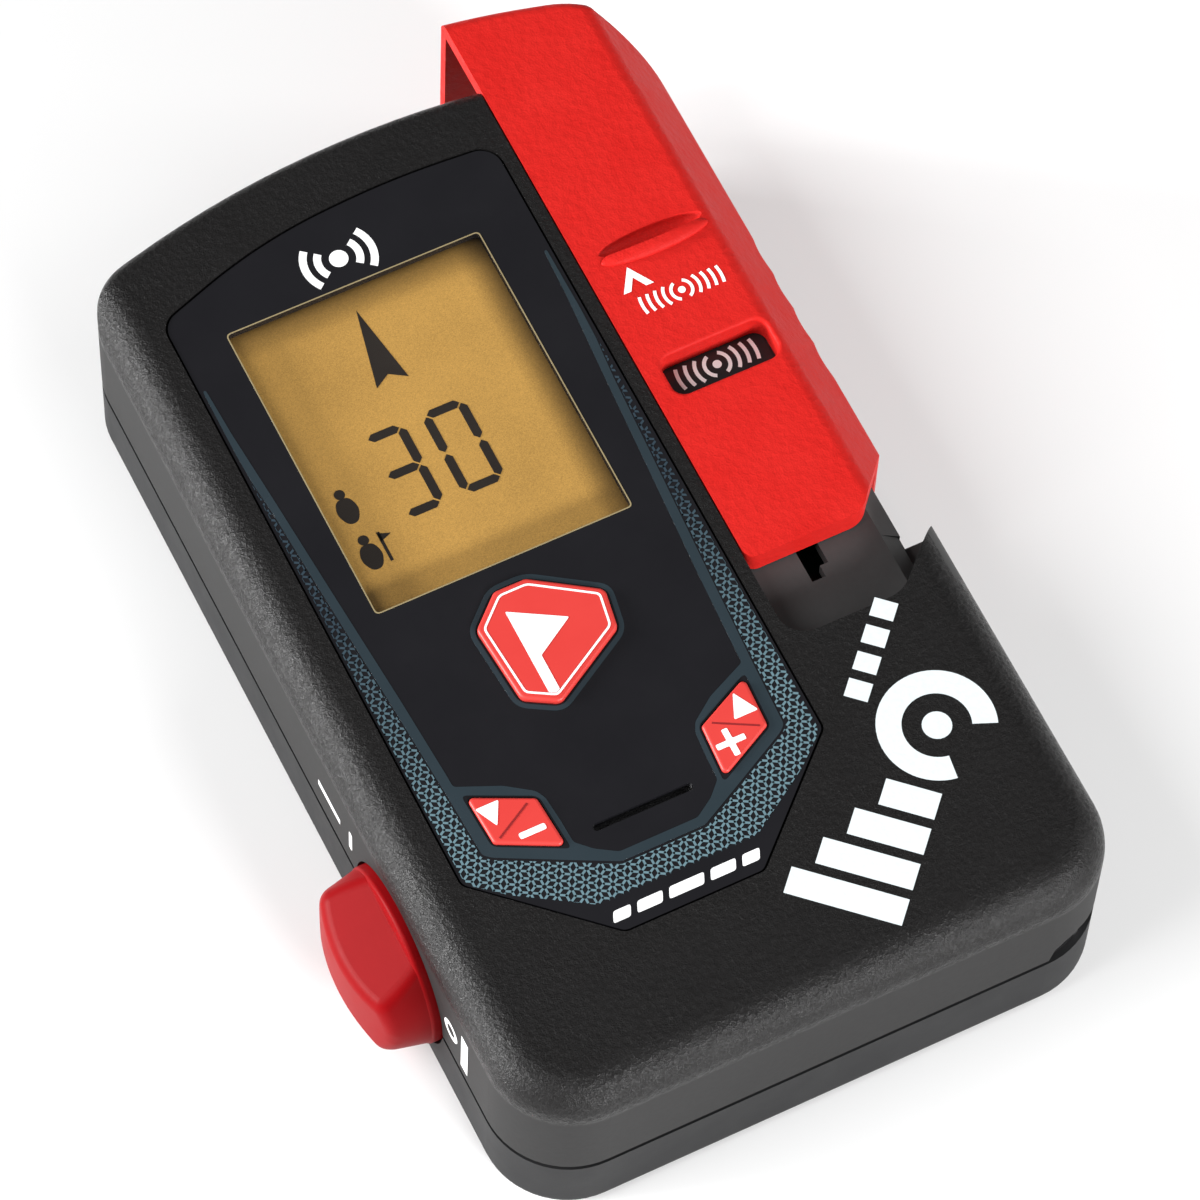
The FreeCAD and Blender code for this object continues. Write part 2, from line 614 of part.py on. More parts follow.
def slider_screws():
    made = []
    for y in FOOT_Y:
        head = rod_z(FOOT_X, y, 1.3, 18.3, CARRIAGE_Z)
        head = head.cut(box(FOOT_X - 1.0, FOOT_X + 1.0, y - 0.2, y + 0.2, 18.0, 18.7))
        made.append(head.fuse(rod_z(FOOT_X, y, 0.6, CARRIAGE_Z - 0.1, 22.6)).removeSplitter())
    return Part.makeCompound(made)


def slider_detent_spring():
    leaf = box(24.3, 24.55, 58.0, 74.0, 19.3, 20.7)
    nose = rod_z(DETENT_X + 0.1, DETENT_Y, 0.6, 19.3, 20.7)
    foot = box(24.3, 25.8, 57.0, 58.4, 19.3, TRACK_UNDER)
    return join([leaf, nose, foot])


# ---- power knob ----
def power_knob():
    base = rod_x(KNOB_Y, KNOB_Z, KNOB_R, -36.1, -HALF + POCKET_DEEP - 0.1)
    base = base.makeFillet(0.5, [e for e in base.Edges if abs(e.BoundBox.XMax + 36.1) < 1e-3])
    # grip: a lens in plan, narrower towards its crest, with ends that follow the round base
    tip = -42.0
    shoulder = -40.2
    reach = 8.6
    foot = 11.0
    root = -35.5
    plan = [V(root, KNOB_Y - foot, 0), V(shoulder, KNOB_Y - reach, 0),
            V(shoulder, KNOB_Y + reach, 0), V(root, KNOB_Y + foot, 0)]
    edges = [Part.LineSegment(plan[0], plan[1]).toShape(),
             Part.Arc(plan[1], V(tip, KNOB_Y, 0), plan[2]).toShape(),
             Part.LineSegment(plan[2], plan[3]).toShape(),
             Part.LineSegment(plan[3], plan[0]).toShape()]
    grip = Part.Face(Part.Wire(edges))
    grip.translate(V(0, 0, KNOB_Z - 12))
    grip = grip.extrude(V(0, 0, 24))
    half_side = [(root, 8.4), (-43.0, 3.6)]
    side = [(x, KNOB_Z + h) for x, h in half_side] + [(x, KNOB_Z - h) for x, h in half_side[::-1]]
    cone = Part.makeCone(9.95, 8.2, 8.0, V(root + 0.1, KNOB_Y, KNOB_Z), V(-1, 0, 0))
    grip = grip.common(prism_y(side, KNOB_Y - 12, KNOB_Y + 12)).common(cone)
    grip = grip.makeFillet(2.0, [e for e in grip.Edges if e.CenterOfMass.x < root - 0.7])
    knob = join([base, grip])
    return knob.cut(rod_x(KNOB_Y, KNOB_Z, 1.6, -37.5, -33))


def knob_shaft():
    thick = rod_x(KNOB_Y, KNOB_Z, SHAFT_R, -HALF + POCKET_DEEP - 0.1, -26.6)
    spigot = rod_x(KNOB_Y, KNOB_Z, 1.6, -37.5, -33.5)
    shaft = thick.fuse(spigot).removeSplitter()
    return shaft.cut(ring_x(KNOB_Y, KNOB_Z, 3.0, 1.5, -27.9, -27.4))


def knob_seal():
    torus = Part.makeTorus(2.57, 0.52, V(-31.9, KNOB_Y, KNOB_Z), V(1, 0, 0))
    return torus


def knob_rotor():
    disc = ring_x(KNOB_Y, KNOB_Z, 4.8, SHAFT_R, -30.2, -28.0)
    for turn in (0.0, 90.0):
        angle = math.radians(turn)
        y = KNOB_Y - 5.3 * math.cos(angle)
        z = KNOB_Z + 5.3 * math.sin(angle)
        disc = disc.cut(rod_x(y, z, 0.9, -31, -27))
    return disc.cut(rod_x(KNOB_Y + 3.2, KNOB_Z, 1.1, -29.2, -27))


def knob_detent_spring():
    leaf = box(-30.0, -28.2, KNOB_Y - 5.75, KNOB_Y - 5.5, WALL, 13.6)
    foot = box(-30.0, -28.2, KNOB_Y - 8.0, KNOB_Y - 5.5, WALL, WALL + 0.25)
    nose = rod_x(KNOB_Y - 5.5, KNOB_Z, 0.5, -30.0, -28.2)
    return join([leaf, foot, nose])


# ---- antennas ----
def antennas():
    """Two ferrite rods with coils and pairs of clips, and a flat coil on a bobbin."""
    long_core = rod_y(LONG_X, LONG_Z, FERRITE_R, LONG_Y[0], LONG_Y[1])
    long_coil = rod_y(LONG_X, LONG_Z, COIL_R, LONG_Y[0] + 12, LONG_Y[1] - 12).cut(long_core)
    cross_core = rod_x(CROSS_Y, CROSS_Z, FERRITE_R, CROSS_X[0], CROSS_X[1])
    cross_coil = rod_x(CROSS_Y, CROSS_Z, COIL_R, CROSS_X[0] + 8, CROSS_X[1] - 8).cut(cross_core)
    long_clips = []
    for y in (LONG_Y[0] + 5, LONG_Y[1] - 7):
        clip = box(LONG_X - COIL_R, LONG_X + COIL_R, y - 2, y + 2, WALL, LONG_Z + 2)
        long_clips.append(clip.cut(long_core))
    cross_clips = []
    for x in (CROSS_X[0] + 3.5, CROSS_X[1] - 4):
        clip = box(x - 2, x + 2, CROSS_Y - COIL_R, CROSS_Y + COIL_R, WALL, CROSS_Z + 2)
        cross_clips.append(clip.cut(cross_core))
    low = 3.2
    high = 9.4
    bobbin = join([rod_z(UP_X, UP_Y, UP_R, WALL, low), rod_z(UP_X, UP_Y, UP_HUB_R, low, high),
                   rod_z(UP_X, UP_Y, UP_R, high, high + 1)])
    bobbin = bobbin.cut(rod_z(UP_X, UP_Y, UP_HUB_R - 2.5, 0, high + 2))
    winding = ring_z(UP_X, UP_Y, UP_R - 0.8, UP_HUB_R, low, high)
    return (long_core, long_coil, Part.makeCompound(long_clips), cross_core, cross_coil,
            Part.makeCompound(cross_clips), bobbin, winding)


# ---- batteries ----
def battery_cells():
    cells = []
    nub = 1.2
    for i in (-1, 0, 1):
        x = i * CELL_PITCH
        low = BAY_LOW + 0.4
        if i == 0:
            can = rod_y(x, CELL_Z, CELL_R, low, low + CELL_L - nub)
            tip = rod_y(x, CELL_Z, 1.9, low + CELL_L - nub, low + CELL_L)
        else:
            can = rod_y(x, CELL_Z, CELL_R, low + nub, low + CELL_L)
            tip = rod_y(x, CELL_Z, 1.9, low, low + nub)
        cells.append(can.fuse(tip).removeSplitter())
    return Part.makeCompound(cells)


def battery_springs():
    start = BAY_LOW + 0.4 + CELL_L
    stop = BAY_HIGH - 0.4
    wire_r = 0.3
    helix = Part.makeHelix(0.95, stop - start - 2 * wire_r, 2.6)
    circle = Part.Wire(Part.makeCircle(wire_r, V(2.6, 0, 0), V(0, 1, 0)))
    coil = Part.Wire(helix).makePipeShell([circle], True, True)
    coil.rotate(V(0, 0, 0), V(1, 0, 0), -90)
    coils = []
    for i in (-1, 0, 1):
        one = coil.copy()
        one.translate(V(i * CELL_PITCH, start + wire_r, CELL_Z))
        coils.append(one)
    return Part.makeCompound(coils)


def battery_plates():
    plates = []
    for i in (-1, 0, 1):
        x = i * CELL_PITCH
        plates.append(box(x - 4.6, x + 4.6, BAY_LOW, BAY_LOW + 0.4, 3.4, 12.4))
        plates.append(box(x - 4.6, x + 4.6, BAY_HIGH - 0.4, BAY_HIGH, 3.4, 12.4))
    return Part.makeCompound(plates)


def battery_door():
    door = plate(-DOOR_HALF, DOOR_HALF, DOOR_LOW, DOOR_HIGH, 1.3, 0.1, 1.6)
    door = door.fuse(box(-10.0, 10.0, DOOR_HIGH - 0.5, HINGE_Y, 0.1, 1.6))
    door = door.fuse(rod_x(HINGE_Y, HINGE_Z, 1.6, -10.0, 10.0)).removeSplitter()
    door = door.cut(rod_x(HINGE_Y, HINGE_Z, 0.65, -20, 20))
    door = door.cut(rod_z(0, DOOR_SCREW_Y, 2.35, -1, 1.05)).cut(rod_z(0, DOOR_SCREW_Y, 1.15, -1, 3))
    for i in range(6):
        y = 14.0 + i * 1.6
        door = door.cut(plate(-8.0, 8.0, y, y + 0.7, 0.3, -1, 0.4))
    return door.cut(door_seal_ring(1.2, 3.0))


def door_seal_ring(z0, z1):
    outer = plate(-18.4, 18.4, 8.1, 58.5, 1.2, z0, z1)
    return outer.cut(plate(-17.5, 17.5, 9.0, 57.6, 0.6, z0 - 1, z1 + 1))


def battery_door_screw():
    head = rod_z(0, DOOR_SCREW_Y, 2.25, 0.2, 1.0)
    head = head.cut(box(-3, 3, DOOR_SCREW_Y - 0.5, DOOR_SCREW_Y + 0.5, 0, 0.7))
    return head.fuse(rod_z(0, DOOR_SCREW_Y, 1.1, 0.9, 6.0)).removeSplitter()


# ---- fasteners ----
def housing_screws():
    made = []
    for x, y in SCREWS:
        head = rod_z(x, y, 2.3, 1.5, 3.2)
        for a, b in ((1.3, 0.3), (0.3, 1.3)):
            head = head.cut(box(x - a, x + a, y - b, y + b, 1.0, 2.4))
        made.append(head.fuse(rod_z(x, y, 1.15, 3.1, 16.0)).removeSplitter())
    return Part.makeCompound(made)


def main():
    save("front_housing", front_housing())
    save("rear_housing", rear_housing())
    save("housing_seal", seal_ring(PART_Z - 0.8, PART_Z))
    save("housing_screws", housing_screws())
    save("lanyard_post", rod_z(LANYARD_X, LANYARD_Y, LANYARD_R, 6.0, 15.0))

    save("front_overlay", front_overlay())
    save("display_window", window_plate(OVERLAY_Z, OVERLAY_TOP - 0.08))
    glass, light, frame, strips = lcd_parts()
    save("lcd_glass", glass)
    save("backlight", light)
    save("lcd_frame", frame)
    save("lcd_connectors", strips)

    mark, minus, plus = BUTTON_CENTRES
    save("mark_button", button(MARK_BUTTON, 26.3, mark[0], mark[1]))
    save("minus_button", button(step_outline(-1), 26.0, minus[0], minus[1]))
    save("plus_button", button(step_outline(1), 26.0, plus[0], plus[1]))
    save("switch_domes", switch_domes())

    save("main_board", main_board())
    save("board_chips", board_chips())
    can, gasket, membrane = buzzer_parts()
    save("buzzer", can)
    save("buzzer_gasket", gasket)
    save("buzzer_membrane", membrane)

    save("search_slider", search_slider())
    save("slider_carriage", slider_carriage())
    save("slider_screws", slider_screws())
    save("slider_magnet", rod_z(FOOT_X, MAGNET_Y, 2.0, 19.4, 20.7))
    save("slider_detent_spring", slider_detent_spring())
    save("mode_label", plate(15.4, 29.2, 61.0, 76.7, 0.6, TRACK_FLOOR - 0.01, TRACK_FLOOR + 0.15))

    save("power_knob", power_knob())
    save("knob_shaft", knob_shaft())
    save("knob_seal", knob_seal())
    save("knob_rotor", knob_rotor())
    save("knob_magnet", rod_x(KNOB_Y + 3.2, KNOB_Z, 1.1, -29.2, -28.0))
    save("knob_clip", ring_x(KNOB_Y, KNOB_Z, 2.9, 1.5, -27.9, -27.4))
    save("knob_detent_spring", knob_detent_spring())

    names = ("long_antenna_core", "long_antenna_coil", "long_antenna_clips", "cross_antenna_core",
             "cross_antenna_coil", "cross_antenna_clips", "upright_antenna_bobbin", "upright_antenna_coil")
    for name, shape in zip(names, antennas()):
        save(name, shape)

    save("battery_cells", battery_cells())
    save("battery_springs", battery_springs())
    save("battery_plates", battery_plates())
    save("battery_door", battery_door())
    save("battery_door_seal", door_seal_ring(1.2, LEDGE_Z - 0.03))
    save("battery_door_pin", rod_x(HINGE_Y, HINGE_Z, 0.6, -15.0, 15.0))
    save("battery_door_screw", battery_door_screw())
    save("screw_insert", ring_z(0, DOOR_SCREW_Y, 2.3, 1.4, 3.4, 6.4))


main()
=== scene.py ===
import math

import bmesh
import bpy
from mathutils import Matrix, Vector


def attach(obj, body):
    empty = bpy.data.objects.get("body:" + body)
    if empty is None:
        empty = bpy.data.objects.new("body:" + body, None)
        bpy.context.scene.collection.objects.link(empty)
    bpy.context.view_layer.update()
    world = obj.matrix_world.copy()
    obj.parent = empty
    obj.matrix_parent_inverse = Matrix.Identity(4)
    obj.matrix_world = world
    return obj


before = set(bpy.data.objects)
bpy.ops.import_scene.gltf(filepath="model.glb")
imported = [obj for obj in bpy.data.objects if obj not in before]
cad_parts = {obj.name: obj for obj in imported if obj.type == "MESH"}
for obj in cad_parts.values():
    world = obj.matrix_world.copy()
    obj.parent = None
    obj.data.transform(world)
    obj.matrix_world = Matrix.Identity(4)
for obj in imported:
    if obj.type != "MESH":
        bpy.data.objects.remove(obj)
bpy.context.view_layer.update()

# Lengths below are in millimetres, with x from the middle of the body and y from its bottom end.
# The frame's origin is under the centre of the whole object's box, so place() shifts them into it.
ORIGIN_X = -3.5
ORIGIN_Y = 61.47
MM = 0.001
FASCIA_X = -8.2        # middle line of the printed fascia
WALL_X = -35.0         # left wall
FACE_TOP = 25.8        # heights of the surfaces that carry prints
FASCIA_TOP = 25.68
MARK_TOP = 26.3
STEP_TOP = 26.0
SLIDER_TOP = 25.9
LABEL_TOP = 22.75
GLASS_TOP = 24.1
LIFT = 0.012           # gap under a print
INK = 0.02             # thickness of a print


def place(x, y, z):
    """Drawn millimetres to the frame's metres."""
    return Vector(((x - ORIGIN_X) * MM, (y - ORIGIN_Y) * MM, z * MM))


# ---- camera: the direction from the object to it, its roll and the point that it aims at ----
AZIMUTH = math.radians(-29.43617)
ELEVATION = math.radians(62.40031)
ROLL = math.radians(3.43083)
TARGET = place(5.0366, 63.1402, 0.0)
DISTANCE = 0.73193     # metres
LENS = 201.48
SENSOR = 36.0
back = Vector((math.sin(AZIMUTH) * math.cos(ELEVATION),
               -math.cos(AZIMUTH) * math.cos(ELEVATION), math.sin(ELEVATION)))
side = Vector((math.cos(AZIMUTH), math.sin(AZIMUTH), 0.0))
up = back.cross(side)
cam_x = math.cos(ROLL) * side + math.sin(ROLL) * up
cam_y = -math.sin(ROLL) * side + math.cos(ROLL) * up
camera_data = bpy.data.cameras.new("camera")
camera_data.lens = LENS
camera_data.sensor_width = SENSOR
camera_data.clip_start = 0.01     # metres
camera_data.clip_end = 20.0
camera = bpy.data.objects.new("camera", camera_data)
bpy.context.collection.objects.link(camera)
turn = Matrix((cam_x, cam_y, back)).transposed().to_4x4()
camera.matrix_world = Matrix.Translation(TARGET + back * DISTANCE) @ turn
bpy.context.scene.camera = camera
bpy.context.scene.view_settings.view_transform = "Standard"


# ---- materials ----
# a mix node has one set of sockets per kind of data, with the same names
VECTOR_A = 4
VECTOR_B = 5
VECTOR_RESULT = 1
COLOUR_A = 6
COLOUR_B = 7
COLOUR_RESULT = 2
WARP = 0.45            # how far the leather's cells are bent


class Shader:
    """One material and its node tree. Textures use object coordinates, and their sizes are in mm."""

    def __init__(self, name):
        self.material = bpy.data.materials.new(name)
        self.material.use_nodes = True
        self.tree = self.material.node_tree
        self.bsdf = self.tree.nodes["Principled BSDF"]
        self.coords = self.node("ShaderNodeTexCoord").outputs["Object"]

    def node(self, kind, **values):
        made = self.tree.nodes.new(kind)
        for key, value in values.items():
            setattr(made, key, value)
        return made

    def link(self, source, target):
        self.tree.links.new(source, target)

    def set(self, **values):
        for key, value in values.items():
            self.bsdf.inputs[key.replace("_", " ")].default_value = value

    def scaled(self, size_mm, stretch=(1, 1, 1)):
        """Object coordinates counted in steps of size_mm."""
        made = self.node("ShaderNodeMapping")
        made.inputs["Scale"].default_value = [s / (size_mm * MM) for s in stretch]
        self.link(self.coords, made.inputs["Vector"])
        return made.outputs["Vector"]

    def noise(self, size_mm, detail=3.0, rough=0.5, stretch=(1, 1, 1)):
        tex = self.node("ShaderNodeTexNoise")
        tex.inputs["Scale"].default_value = 1.0
        tex.inputs["Detail"].default_value = detail
        tex.inputs["Roughness"].default_value = rough
        self.link(self.scaled(size_mm, stretch), tex.inputs["Vector"])
        return tex.outputs["Fac"]

    def cells(self, size_mm, warp):
        """Distance to the middle of warped cells, as in leather."""
        even = self.scaled(size_mm)
        bent = self.node("ShaderNodeTexNoise")
        bent.inputs["Scale"].default_value = 0.8
        self.link(even, bent.inputs["Vector"])
        mixed = self.node("ShaderNodeMix", data_type="VECTOR")
        mixed.inputs["Factor"].default_value = warp
        self.link(even, mixed.inputs[VECTOR_A])
        self.link(bent.outputs["Color"], mixed.inputs[VECTOR_B])
        tex = self.node("ShaderNodeTexVoronoi")
        tex.inputs["Scale"].default_value = 1.0
        self.link(mixed.outputs[VECTOR_RESULT], tex.inputs["Vector"])
        return tex.outputs["Distance"]

    def math(self, operation, a, b):
        """Math node; a and b are numbers or sockets."""
        made = self.node("ShaderNodeMath", operation=operation)
        for socket, value in zip(made.inputs, (a, b)):
            if isinstance(value, (int, float)):
                socket.default_value = value
            else:
                self.link(value, socket)
        return made.outputs[0]

    def ramp(self, value, low, high, to_low=0.0, to_high=1.0):
        made = self.node("ShaderNodeMapRange")
        for key, number in (("From Min", low), ("From Max", high), ("To Min", to_low), ("To Max", to_high)):
            made.inputs[key].default_value = number
        self.link(value, made.inputs["Value"])
        return made.outputs["Result"]

    def colour(self, factor, first, second):
        """Base colour between two colours, and past the second one where factor is over 1."""
        made = self.node("ShaderNodeMix", data_type="RGBA", clamp_factor=False)
        made.inputs[COLOUR_A].default_value = (*first, 1.0)
        made.inputs[COLOUR_B].default_value = (*second, 1.0)
        self.link(factor, made.inputs["Factor"])
        self.link(made.outputs[COLOUR_RESULT], self.bsdf.inputs["Base Color"])

    def rough(self, factor, low, high):
        """Roughness that follows a noise, whose values mostly lie between 0.3 and 0.7."""
        self.link(self.ramp(factor, 0.3, 0.7, low, high), self.bsdf.inputs["Roughness"])

    def bump(self, height, depth_mm, strength=1.0):
        made = self.node("ShaderNodeBump")
        made.inputs["Distance"].default_value = depth_mm * MM
        if isinstance(strength, (int, float)):
            made.inputs["Strength"].default_value = strength
        else:
            self.link(strength, made.inputs["Strength"])
        self.link(height, made.inputs["Height"])
        self.link(made.outputs["Normal"], self.bsdf.inputs["Normal"])

    def split(self, axis):
        """One object coordinate: "X", "Y" or "Z"."""
        made = self.node("ShaderNodeSeparateXYZ")
        self.link(self.coords, made.inputs[0])
        return made.outputs[axis]


def plain(name, first, second, rough, grain_mm, depth_mm, metallic=0.0, coat=0.0, patch_mm=9.0,
          stretch=(1, 1, 1), spec=0.5, wrinkle_mm=0.0, ior=1.5):
    """Mottled colour, varying gloss and a fine grain: the base of most materials here."""
    made = Shader(name)
    made.set(Metallic=metallic, Coat_Weight=coat, Coat_Roughness=0.06, Specular_IOR_Level=spec, IOR=ior)
    patches = made.noise(patch_mm, 4.0, 0.6)
    made.colour(patches, first, second)
    made.rough(patches, rough[0], rough[1])
    relief = made.noise(grain_mm, 2.0, 0.6, stretch)
    if wrinkle_mm:
        relief = made.math("ADD", relief, made.cells(wrinkle_mm, WARP))
    made.bump(relief, depth_mm)
    return made.material


GRAIN_FROM = 20.9                        # height at which the grain starts on the rounding
GRAIN_FULL = 21.9
RECESS_CORNER = (14.4, 38.0, 24.8)       # the slider's recess lies right of, behind and below this


def leather_shell():
    """Black moulded shell: leather grain on the face and its rounding, satin on walls and recess; painted
    light lifts the base colour of the walls a little and of the recess much more.
    """
    made = Shader("shell_leather")
    corner = place(*RECESS_CORNER)
    above = made.ramp(made.split("Z"), GRAIN_FROM * MM, GRAIN_FULL * MM)
    recess = made.math("MULTIPLY", made.math("GREATER_THAN", made.split("X"), corner.x),
                       made.math("GREATER_THAN", made.split("Y"), corner.y))
    recess = made.math("MULTIPLY", recess, made.math("LESS_THAN", made.split("Z"), corner.z))
    grained = made.math("MULTIPLY", above, made.math("SUBTRACT", 1.0, recess))
    wrinkles = made.cells(0.34, WARP)
    fine = made.noise(0.17, 2.0, 0.65)
    relief = made.math("ADD", made.math("MULTIPLY", wrinkles, 0.7), fine)
    made.bump(relief, 0.10, made.ramp(grained, 0.0, 1.0, 0.06, 1.0))
    patches = made.noise(6.0, 3.0, 0.55)
    tint = made.math("ADD", made.math("MULTIPLY", patches, 0.25), made.math("MULTIPLY", wrinkles, 0.4))
    # painted light: a lighter base colour on the smooth walls (0.5) and a far lighter one in the slider's
    # recess (4.0)
    painted_light_lift = made.math("ADD", made.math("MULTIPLY", made.math("SUBTRACT", 1.0, grained), 0.5),
                            made.math("MULTIPLY", recess, 4.0))
    made.colour(made.math("ADD", tint, painted_light_lift), (0.007, 0.0065, 0.0065), (0.017, 0.0165, 0.0165))
    crests = made.math("MULTIPLY", grained, made.ramp(relief, 0.5, 0.95, 0.25, 1.0))
    made.link(made.ramp(crests, 0.0, 1.0, 0.60, 0.20), made.bsdf.inputs["Roughness"])
    made.set(Specular_IOR_Level=0.30, IOR=1.4)
    return made.material


SHADE_CORNER = (7.6, 98.9, 0.0)          # top right corner of the shade on the display
SHADE_RIGHT = 4.4                        # width of the shade along each edge
SHADE_TOP = 5.0
SHADE_LEVEL = 0.10


def display_face():
    """Amber display: fine grain, and soft shade along the top and right edges of its recess."""
    made = Shader("display_amber")
    made.set(Roughness=0.45)
    grain = made.noise(0.15, 2.0, 0.7)
    clouds = made.noise(14.0, 2.0, 0.5)
    mixed = made.math("ADD", made.math("MULTIPLY", grain, 0.7), made.math("MULTIPLY", clouds, 0.3))
    corner = place(*SHADE_CORNER)
    across = made.ramp(made.split("X"), corner.x - SHADE_RIGHT * MM, corner.x, 1.0, SHADE_LEVEL)
    along = made.ramp(made.split("Y"), corner.y - SHADE_TOP * MM, corner.y, 1.0, SHADE_LEVEL)
    lit = made.math("MULTIPLY", across, along)
    mixed = made.math("MULTIPLY", made.ramp(mixed, 0.3, 0.7, 0.55, 1.0), lit)
    made.colour(mixed, (0.0, 0.0, 0.0), (0.66, 0.37, 0.086))
    made.bump(grain, 0.01, 0.3)
    return made.material


FADE_FROM = 34.0                         # y where the teal starts to fade, and where it is gone
FADE_TO = 60.0


def pattern_ink():
    """Teal at the foot of the fascia, fading to dark slate up its two sides."""
    made = Shader("ink_pattern")
    made.set(Roughness=0.28)
    fade = made.ramp(made.split("Y"), place(0, FADE_FROM, 0).y, place(0, FADE_TO, 0).y, 1.0, 0.0)
    patches = made.ramp(made.noise(0.9, 2.0, 0.5), 0.3, 0.7, 0.85, 1.0)
    made.colour(made.math("MULTIPLY", fade, patches), (0.028, 0.046, 0.062), (0.13, 0.22, 0.255))
    made.bump(made.noise(0.9, 2.0, 0.6), 0.002)
    return made.material


def clear_window():
    """Clear cover over the display, with a faint grey cast."""
    made = Shader("window_clear")
    made.set(Alpha=0.07, Roughness=0.06, IOR=1.49, Specular_IOR_Level=0.5)
    made.colour(made.noise(20.0), (0.02, 0.02, 0.02), (0.03, 0.03, 0.03))
    made.material.blend_method = "BLEND"
    return made.material


MAT = {
    "shell": leather_shell(),
    "rear": plain("shell_rear", (0.008, 0.008, 0.0085), (0.014, 0.014, 0.015), (0.5, 0.6), 0.35, 0.006,
                  spec=0.3, ior=1.4),
    "fascia": plain("fascia_black", (0.0072, 0.0070, 0.0088), (0.0108, 0.0106, 0.0128), (0.16, 0.24),
                    0.9, 0.0015),
    "amber": display_face(),
    "window": clear_window(),
    "button": plain("button_red", (0.56, 0.038, 0.032), (0.64, 0.050, 0.042), (0.38, 0.46), 0.8, 0.002,
                    spec=0.4),
    "slider": plain("slider_red", (0.50, 0.012, 0.010), (0.58, 0.018, 0.014), (0.46, 0.58), 0.24, 0.06,
                    patch_mm=5.0, spec=0.25, wrinkle_mm=0.5, ior=1.3),
    "knob": plain("knob_red", (0.20, 0.002, 0.003), (0.235, 0.003, 0.005), (0.38, 0.46), 0.5, 0.006,
                  spec=0.12, ior=1.3),
    "label": plain("label_black", (0.012, 0.012, 0.013), (0.02, 0.02, 0.022), (0.3, 0.42), 0.3, 0.003),
    "inner": plain("inner_plastic", (0.055, 0.055, 0.06), (0.075, 0.075, 0.08), (0.45, 0.6), 0.4, 0.01),
    "white": plain("white_plastic", (0.70, 0.70, 0.68), (0.80, 0.80, 0.78), (0.4, 0.55), 0.5, 0.01),
    "rubber": plain("rubber_black", (0.018, 0.018, 0.018), (0.035, 0.035, 0.035), (0.7, 0.85), 0.3, 0.02),
    "steel": plain("steel", (0.48, 0.48, 0.50), (0.62, 0.62, 0.64), (0.22, 0.38), 0.2, 0.006,
                   metallic=1.0, stretch=(1, 0.2, 1)),
    "magnet": plain("magnet_nickel", (0.62, 0.62, 0.63), (0.72, 0.72, 0.73), (0.1, 0.2), 0.6, 0.002,
                    metallic=1.0),
    "board": plain("board_green", (0.006, 0.016, 0.011), (0.010, 0.026, 0.018), (0.3, 0.4), 0.5, 0.01,
                   patch_mm=3.0),
    "chip": plain("chip_black", (0.02, 0.02, 0.021), (0.035, 0.035, 0.036), (0.5, 0.65), 0.15, 0.008),
    "ferrite": plain("ferrite", (0.05, 0.05, 0.053), (0.09, 0.09, 0.095), (0.35, 0.55), 0.4, 0.02),
    "copper": plain("copper_wire", (0.50, 0.17, 0.06), (0.66, 0.27, 0.10), (0.25, 0.4), 0.25, 0.03,
                    metallic=1.0),
    "cell": plain("cell_jacket", (0.07, 0.08, 0.10), (0.11, 0.12, 0.145), (0.2, 0.3), 0.8, 0.003,
                  coat=0.3),
    "brass": plain("insert_brass", (0.60, 0.40, 0.14), (0.72, 0.52, 0.22), (0.22, 0.35), 0.25, 0.01,
                   metallic=1.0),
    "ink_white": plain("ink_white", (0.60, 0.67, 0.69), (0.72, 0.78, 0.80), (0.45, 0.6), 0.45, 0.02,
                       patch_mm=0.6),
    "ink_pure": plain("ink_pure_white", (0.86, 0.87, 0.87), (0.94, 0.94, 0.94), (0.3, 0.4), 0.5, 0.003),
    "ink_slate": plain("ink_slate", (0.018, 0.029, 0.036), (0.024, 0.036, 0.045), (0.2, 0.3), 0.9, 0.002),
    "ink_teal": pattern_ink(),
    "ink_dark": plain("ink_dark", (0.016, 0.012, 0.010), (0.026, 0.020, 0.016), (0.3, 0.4), 0.5, 0.003),
    "ink_cream": plain("ink_cream", (0.24, 0.19, 0.10), (0.32, 0.26, 0.14), (0.3, 0.4), 0.5, 0.003),
    "ink_maroon": plain("ink_maroon", (0.20, 0.012, 0.014), (0.26, 0.018, 0.02), (0.3, 0.4), 0.5, 0.003),
}

NODE_MATERIAL = {
    "shell": ["front_housing"],
    "rear": ["rear_housing", "battery_door"],
    "fascia": ["front_overlay"],
    "amber": ["lcd_glass"],
    "window": ["display_window"],
    "button": ["mark_button", "minus_button", "plus_button"],
    "slider": ["search_slider"],
    "knob": ["power_knob"],
    "label": ["mode_label"],
    "white": ["backlight", "lcd_frame"],
    "rubber": ["lcd_connectors", "housing_seal", "knob_seal", "battery_door_seal", "buzzer_gasket"],
    "inner": ["slider_carriage", "knob_rotor", "knob_shaft", "long_antenna_clips", "cross_antenna_clips",
              "upright_antenna_bobbin"],
    "steel": ["housing_screws", "lanyard_post", "slider_screws", "slider_detent_spring", "knob_clip",
              "knob_detent_spring", "battery_springs", "battery_plates", "battery_door_pin",
              "battery_door_screw", "switch_domes", "buzzer_membrane"],
    "magnet": ["slider_magnet", "knob_magnet"],
    "board": ["main_board"],
    "chip": ["board_chips", "buzzer"],
    "ferrite": ["long_antenna_core", "cross_antenna_core"],
    "copper": ["long_antenna_coil", "cross_antenna_coil", "upright_antenna_coil"],
    "cell": ["battery_cells"],
    "brass": ["screw_insert"],
}
for key, names in NODE_MATERIAL.items():
    for name in names:
        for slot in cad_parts[name].material_slots:
            slot.material = MAT[key]


